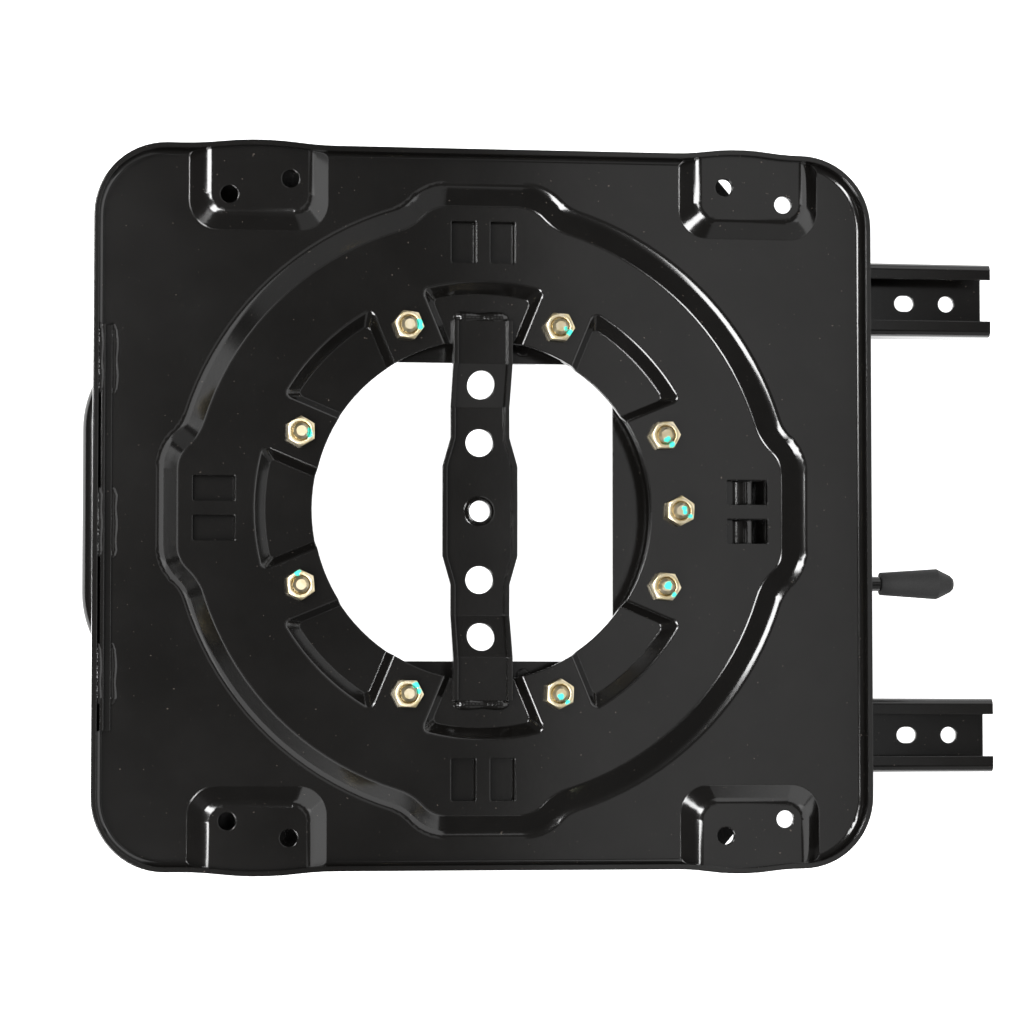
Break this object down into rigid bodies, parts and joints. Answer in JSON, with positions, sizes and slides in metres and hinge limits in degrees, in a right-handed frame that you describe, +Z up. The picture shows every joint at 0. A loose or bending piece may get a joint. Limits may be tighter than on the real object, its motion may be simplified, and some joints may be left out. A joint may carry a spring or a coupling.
{
  "type": "swivel seat base",
  "caption": "Black pressed steel swivel base for a vehicle seat: a turning plate on a ring bearing, carried on a base plate with two floor slides, a swivel latch lever and a slide release bar.",
  "frame": {"origin": "centre of the four round floor bolt holes, on the undersides of the lower rails", "axes": "+X along the slides, towards the end with the swivel lever; +Y across the slides; +Z up, along the floor bolts and the swivel axis"},
  "size_m": [0.4573, 0.3534, 0.07],
  "materials": {
    "black_paint": "semi-gloss black paint on steel",
    "yellow_zinc": "yellow passivated zinc plate",
    "bright_zinc": "bright zinc plate",
    "spring_steel": "oiled spring steel",
    "glide_plastic": "moulded low-friction plastic",
    "grip_plastic": "matte black moulded plastic"
  },
  "bodies": {
    "rails": {"left_lower_rail": "black_paint", "right_lower_rail": "black_paint"},
    "carriage": {"left_upper_rail": "black_paint", "right_upper_rail": "black_paint", "glide_shoes": "glide_plastic", "rail_bolts": "yellow_zinc", "rail_nuts": "yellow_zinc", "base_plate": "black_paint", "race_ring": "black_paint", "race_rivets": "black_paint", "lower_glide_ring": "glide_plastic", "upper_glide_ring": "glide_plastic", "latch_bracket": "black_paint", "bracket_rivets": "black_paint", "latch_pin": "bright_zinc", "latch_spring": "spring_steel", "left_release_bracket": "black_paint", "right_release_bracket": "black_paint", "release_pins": "bright_zinc", "release_rivets": "black_paint", "release_springs": "spring_steel"},
    "turntable": {"upper_plate": "black_paint", "rim_strip": "black_paint", "crossbar": "black_paint", "clamp_ring": "black_paint", "spacer_sleeves": "bright_zinc", "ring_bolts": "yellow_zinc", "ring_nuts": "yellow_zinc"},
    "latch": {"latch_plate": "black_paint", "lever_rod": "black_paint", "lever_grip": "grip_plastic"},
    "slide_release": {"release_bar": "black_paint", "left_lock_comb": "black_paint", "right_lock_comb": "black_paint"}
  },
  "joints": [
    {"name": "slide", "type": "slide", "parent": "rails", "child": "carriage", "axis": [1, 0, 0], "range_m": [-0.02, 0.1]},
    {"name": "swivel", "type": "hinge", "parent": "carriage", "child": "turntable", "pos_m": [-0.044, 0, 0.045], "axis": [0, 0, 1], "continuous": true},
    {"name": "swivel_latch", "type": "hinge", "parent": "carriage", "child": "latch", "pos_m": [0.116, 0, 0.048], "axis": [0, 1, 0], "range_deg": [0, 6.5], "stiffness_Nm_per_rad": 6},
    {"name": "slide_release", "type": "hinge", "parent": "carriage", "child": "slide_release", "pos_m": [-0.039, 0, 0.021], "axis": [0, 1, 0], "range_deg": [-2.6, 0], "stiffness_Nm_per_rad": 60}
  ]
}
